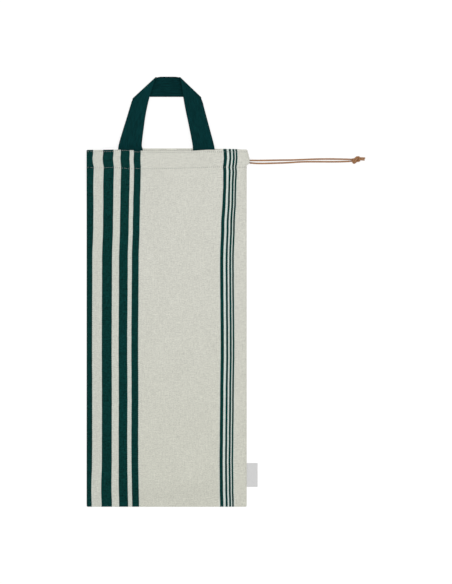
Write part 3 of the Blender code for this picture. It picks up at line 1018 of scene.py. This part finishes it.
def rim_shift(x, share, y, front):
    """How far a point of the casing lies above its row."""
    shift = table_value(RIM_LINE, x)
    if not front:
        shift += table_value(RIM_LINE, x, 2) * (1 - share**RELIEF_POWER)
    return shift * ramp(y, STITCH_Y, MOUTH_Y)


def panel_point(x, y, front, inset):
    """A point of a panel, inset from its outside."""
    share = share_across(x, y)
    if front:
        z = 2 * side_round(y) + front_rise(share, y) + front_relief(x, y, share) - inset
    else:
        z = inset + back_relief(x, y)
    return Vector((x, y + rim_shift(x, share, y, front), z))


def side_point(edge, share, y, inset, front, right):
    """A point of the round side, at a share from 0 on the edge to 1 at the panel."""
    round_here = side_round(y)
    angle = math.pi / 2 * share
    sign = 1 if right else -1
    point = Vector((edge + sign * (round_here - inset) * math.cos(angle), y, 0.0))
    up = (round_here - inset) * math.sin(angle)
    if right and inset == 0:
        is_open = ramp(y, EXIT_LOW_Y, EXIT_LOW_Y + EXIT_SOFT)
        is_open *= ramp(y, EXIT_HIGH_Y, EXIT_HIGH_Y - EXIT_SOFT)
        point.x += (edge + round_here * (1 - share) - point.x) * is_open
        up += (round_here - LIP_DROP * (1 - share) ** 2 - up) * is_open
    point.y += rim_shift(point.x, sign, y, front)
    point.z = round_here + (up if front else -up)
    return point


def cloth_point(column, y, inset, front, close):
    """A point of the bag's section at y, inset from its outside; close flattens the bottom edge."""
    last = 2 * SIDE_STEPS + SPAN_STEPS
    right = column > last / 2
    step = last - column if right else column
    round_here = side_round(y)
    drawn_in = max(0.0, inset - FOLD_WIDTH) / FOLD_WIDTH
    start = left_edge(y) + round_here + LEFT_POCKET * drawn_in
    end = right_edge(y) - round_here - RIGHT_POCKET * drawn_in
    if step < SIDE_STEPS:
        point = side_point(end if right else start, step / SIDE_STEPS, y, inset, front, right)
    else:
        part = (column - SIDE_STEPS) / SPAN_STEPS
        point = panel_point(start + (end - start) * part, y, front, inset)
    point.z = round_here + (point.z - round_here) * close
    return point


def cloth_rows():
    """Each row of the cloth from the bottom seam up, over the rim and down the hem."""
    rows = []
    for step in range(SIDE_STEPS):
        angle = math.pi / 2 * step / SIDE_STEPS
        rows.append((BOTTOM_Y + SIDE_ROUND * (1 - math.cos(angle)), 0.0, math.sin(angle)))
    start = BOTTOM_Y + SIDE_ROUND
    count = round((CASING_FROM_Y - start) / BODY_STEP)
    rows += [(start + (CASING_FROM_Y - start) * i / count, 0.0, 1.0) for i in range(count)]
    turn = FOLD_WIDTH / 2
    count = round((MOUTH_Y - turn - CASING_FROM_Y) / CASING_STEP)
    rows += [
        (CASING_FROM_Y + (MOUTH_Y - turn - CASING_FROM_Y) * i / count, 0.0, 1.0)
        for i in range(count)
    ]
    for step in range(RIM_STEPS + 1):
        angle = math.pi * step / RIM_STEPS
        rows.append((MOUTH_Y - turn + turn * math.sin(angle), turn * (1 - math.cos(angle)), 1.0))
    for step in range(1, HEM_ROWS + 1):
        y = MOUTH_Y - turn + (HEM_END_Y - MOUTH_Y + turn) * step / HEM_ROWS
        rows.append((y, max(hem_inset(y), FOLD_WIDTH), 1.0))
    return rows


def stripe_shift(x, y):
    """How far the cloth at x is carried to the right."""
    shifts = [table_value(STRIPE_SHIFT, y, column) for column in (1, 2, 3, 4)]
    shift = shifts[0]
    for here, after, start, end in zip(shifts, shifts[1:], SHIFT_AT, SHIFT_AT[1:]):
        shift += (after - here) * ramp(x + BAG_WIDTH / 2, start, end)
    return shift


def cloth_across(x, y, column):
    """How far a point lies from the left fold along the cloth."""
    last = 2 * SIDE_STEPS + SPAN_STEPS
    across = x + BAG_WIDTH / 2 - stripe_shift(x, y)
    angle = math.pi / 2 * max(0.0, 1 - min(column, last - column) / SIDE_STEPS)
    spare = side_round(y) * (angle - math.sin(angle))
    return across + spare if column > last / 2 else across - spare


def cloth_cells(rows, front):
    """Each point of a panel, its place on the flat cloth, and its place beside the stitches."""
    cells = {}
    for row, (y, inset, close) in enumerate(rows):
        hem = row > len(rows) - HEM_ROWS - RIM_STEPS / 2
        along = 2 * MOUTH_Y - y if hem else y
        for column in range(2 * SIDE_STEPS + SPAN_STEPS + 1):
            point = cloth_point(column, y, inset, front, close)
            across = cloth_across(point.x, y, column)
            on_cloth = (across if front else -across, along)
            cells[column, row] = (point, on_cloth, (point.x, from_stitches(point.x, y)))
    return cells


def make_bag():
    rows = cloth_rows()
    mesh = bmesh.new()
    for front in (True, False):
        cells = cloth_cells(rows, front)
        lay_grid(
            mesh,
            2 * SIDE_STEPS + SPAN_STEPS,
            len(rows) - 1,
            lambda column, row: cells[column, row][0],
            [
                ("cloth", lambda column, row: cells[column, row][1]),
                ("seam", lambda column, row: cells[column, row][2]),
            ],
        )
    bmesh.ops.remove_doubles(mesh, verts=mesh.verts, dist=WELD)
    bmesh.ops.recalc_face_normals(mesh, faces=mesh.faces)
    bag = new_piece("bag_cloth", mesh, cotton_look())
    thicken(bag, FINE_THICK, -1)
    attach(bag, "root")
    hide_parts("bag_body")
    return bag


def add_stitch(mesh, start, end, width):
    """One stitch of thread from hole to hole, standing a little proud."""
    sphere = bmesh.ops.create_uvsphere(
        mesh, u_segments=STITCH_SIDES, v_segments=STITCH_RINGS, radius=1.0
    )
    along = end - start
    length = along.length
    along.normalize()
    side = along.cross(Vector((0, 0, 1))).normalized()
    up = side.cross(along)
    middle = (start + end) / 2
    for vert in sphere["verts"]:
        x, y, z = vert.co
        vert.co = middle + along * z * length / 2 + side * x * width + up * y * width


def stitch_point(x, y, front, inside):
    """Where the thread passes at x, on the panel or round the left fold."""
    inset = hem_inset(y) + THREAD_PROUD if inside else -THREAD_PROUD
    if not front and not inside:
        inset = THREAD / 2 - GROOVE[0]
    round_here = side_round(y)
    over = left_edge(y) + round_here - x
    if over > 0 and not inside:
        share = math.acos(min(1.0, over / round_here)) / (math.pi / 2)
        return side_point(left_edge(y) + round_here, share, y, 0.0, front, False)
    return panel_point(x, y, front, inset)


def stitch_places(front, inside):
    """Where the stitches of one line have their middles."""
    count = int(BAG_WIDTH / STITCH_PITCH / 2)
    places = [(index + 0.5) * STITCH_PITCH for index in range(-count, count)]
    start = -BAG_WIDTH / 2 + (MOUTH_ROUND if inside or not front else FIRST_STITCH)
    end = BAG_WIDTH / 2 - MOUTH_ROUND - (RIGHT_POCKET * inside)
    return [x for x in places if start <= x <= end]


def make_stitches():
    """The hem's line and the rim's line, each outside and inside, on both panels."""
    mesh = bmesh.new()
    draw = random.Random(STITCH_SEED)
    lines = itertools.product((True, False), (TOP_LINE, HEM_LINE), (True, False))
    for front, line, inside in lines:
        for x in stitch_places(front, inside):
            y = table_value(line, x)
            half = STITCH_LENGTH / 2 * draw.uniform(*STITCH_VARIES)
            lean = draw.uniform(-STITCH_LEAN, STITCH_LEAN)
            start = stitch_point(x - half, y - lean, front, inside)
            end = stitch_point(x + half, y + lean, front, inside)
            add_stitch(mesh, start, end, THREAD / 2)
    bmesh.ops.recalc_face_normals(mesh, faces=mesh.faces)
    stitches = new_piece("stitches", mesh, thread_look())
    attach(stitches, "root")
    return stitches


# The strap handle


def crease_rows(crease, leg_end):
    """The rows of the strap round one mitred fold, from the leg's layer to the top run's."""
    outer, inner = np.array(crease)
    along = (inner - outer) / np.linalg.norm(inner - outer)
    out = np.array((-along[1], along[0]))
    if out[1] < 0:
        out = -out
    to_top = np.array((-math.copysign(1, outer[0]), 0))
    edges = tuple(zip((outer, inner), CREASE_ROUND, (leg_end[:2], leg_end[3:5])))
    rows = []
    for step in range(CREASE_STEPS + 1):
        angle = math.pi * (0.5 - step / CREASE_STEPS)
        row = []
        for end, turn, foot in edges:
            to_leg = (foot - end) / np.linalg.norm(foot - end)
            away = to_leg if angle > 0 else to_top
            slide = away * turn * (1 - math.cos(angle)) / -away.dot(out)
            height = STRAP_FLOOR_Z + turn + turn * math.sin(angle)
            row += [*(end - out * STRAP_THICK / 2 + slide), height]
        rows.append([*row, 0.0])
    return rows


def strap_rows():
    """The strap from foot to foot, each row an outer point, an inner point and its arch."""
    left, right = (
        [[*row, STRAP_ARCH * (index >= FOOT_ROWS)] for index, row in enumerate(leg)]
        for leg in (LEFT_LEG, RIGHT_LEG)
    )
    first = crease_rows(LEFT_CREASE, left[-1])
    last = crease_rows(RIGHT_CREASE, right[-1])[::-1]
    top = []
    for step in range(1, TOP_ROWS):
        share = step / TOP_ROWS
        level = ramp(share, 0.0, TOP_EASE) * ramp(share, 1.0, 1.0 - TOP_EASE)
        row = np.array(first[-1]) * (1 - share) + np.array(last[0]) * share
        row[1] += (TOP_LOWER_Y - row[1]) * level
        row[4] += (TOP_UPPER_Y - row[4]) * level
        top.append(row)
    return np.array([*left, *first, *top, *last, *right[::-1]])


def fine_rows(rows):
    """More rows between the given ones, about a step apart, and their corners rounded off."""
    fine = []
    for here, after in zip(rows, rows[1:]):
        gap = np.linalg.norm((after[:3] + after[3:6] - here[:3] - here[3:6]) / 2)
        count = max(1, round(gap / STRAP_STEP))
        fine += [here + (after - here) * step / count for step in range(count)]
    fine = np.array([*fine, rows[-1]])
    for _ in range(STRAP_SMOOTHING):
        fine[1:-1] = (fine[:-2] + 2 * fine[1:-1] + fine[2:]) / 4
    return fine


def make_strap():
    rows = fine_rows(strap_rows())
    middle = (rows[:, :3] + rows[:, 3:6]) / 2
    along = np.concatenate([[0], np.cumsum(np.linalg.norm(np.diff(middle, axis=0), axis=1))])
    top_run = along[middle[:, 2] < TOP_LAYER_Z]

    def place(column, row):
        share = column / STRAP_COLUMNS
        point = rows[row][:3] * (1 - share) + rows[row][3:6] * share
        return Vector(point) + Vector((0, 0, rows[row][6] * math.sin(math.pi * share)))

    def flat(column, row):
        return (STRAP_WIDTH * column / STRAP_COLUMNS, along[row])

    mesh = bmesh.new()
    lay_grid(mesh, STRAP_COLUMNS, len(rows) - 1, place, [("cloth", flat)])
    bmesh.ops.recalc_face_normals(mesh, faces=mesh.faces)
    strap = new_piece("strap", mesh, strap_look(float(top_run[0]), float(top_run[-1])))
    thicken(strap, STRAP_CLOTH, 0)
    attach(strap, "root")
    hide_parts("handle")


# The label


def make_label():
    columns, rows = LABEL_GRID
    start_x = BAG_WIDTH / 2 + LABEL_GAP

    def place(column, row):
        along = column / columns
        y = LABEL_CENTRE_Y + LABEL_SIZE[1] * (row / rows - 0.5)
        height = table_value(LABEL_ROWS, along)
        uneven = noise.noise(Vector((along * LABEL_LIFT[1], y * LABEL_LIFT[2], 0)))
        height += LABEL_LIFT[0] * along * (1 + uneven)
        return Vector((start_x + LABEL_SIZE[0] * along, y, height))

    mesh = bmesh.new()
    lay_grid(mesh, columns, rows, place)
    bmesh.ops.recalc_face_normals(mesh, faces=mesh.faces)
    label = new_piece("woven_label", mesh, label_look())
    thicken(label, LABEL_CLOTH, 0)
    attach(label, "root")
    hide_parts("seam_label")


# The studio


def make_camera():
    data = bpy.data.cameras.new("camera")
    data.sensor_width = SENSOR
    data.lens = SENSOR * CAMERA_HEIGHT / FRAME_LENGTH
    camera = bpy.data.objects.new("camera", data)
    camera.location = (CAMERA_X, CAMERA_Y, CAMERA_HEIGHT)
    bpy.context.scene.collection.objects.link(camera)
    bpy.context.scene.camera = camera


def make_floor():
    mesh = bmesh.new()
    bmesh.ops.create_grid(mesh, x_segments=FLOOR_CELLS, y_segments=FLOOR_CELLS, size=FLOOR_REACH)
    bmesh.ops.translate(mesh, verts=mesh.verts, vec=(0, 0, FLOOR_Z))
    floor = new_piece("floor", mesh, floor_look())


def make_lights():
    world = bpy.data.worlds.new("studio")
    world.use_nodes = True
    sky = world.node_tree.nodes["Background"]
    sky.inputs["Color"].default_value = (1.0, 1.0, 1.0, 1)
    sky.inputs["Strength"].default_value = SKY_STRENGTH
    bpy.context.scene.world = world
    data = bpy.data.lights.new("softbox", "AREA")
    data.shape = "RECTANGLE"
    data.size, data.size_y = SOFTBOX_SIZE
    data.energy = SOFTBOX_ENERGY
    lamp = bpy.data.objects.new("softbox", data)
    lamp.location = SOFTBOX_PLACE
    aim = Vector(SOFTBOX_AIM) - lamp.location
    lamp.rotation_euler = aim.to_track_quat("-Z", "Y").to_euler()
    bpy.context.scene.collection.objects.link(lamp)
    bpy.context.scene.view_settings.view_transform = "Standard"


def main():
    make_camera()
    make_drawcord()
    bag = make_bag()
    stitches = make_stitches()
    make_strap()
    make_label()
    make_floor()
    make_lights()


main()
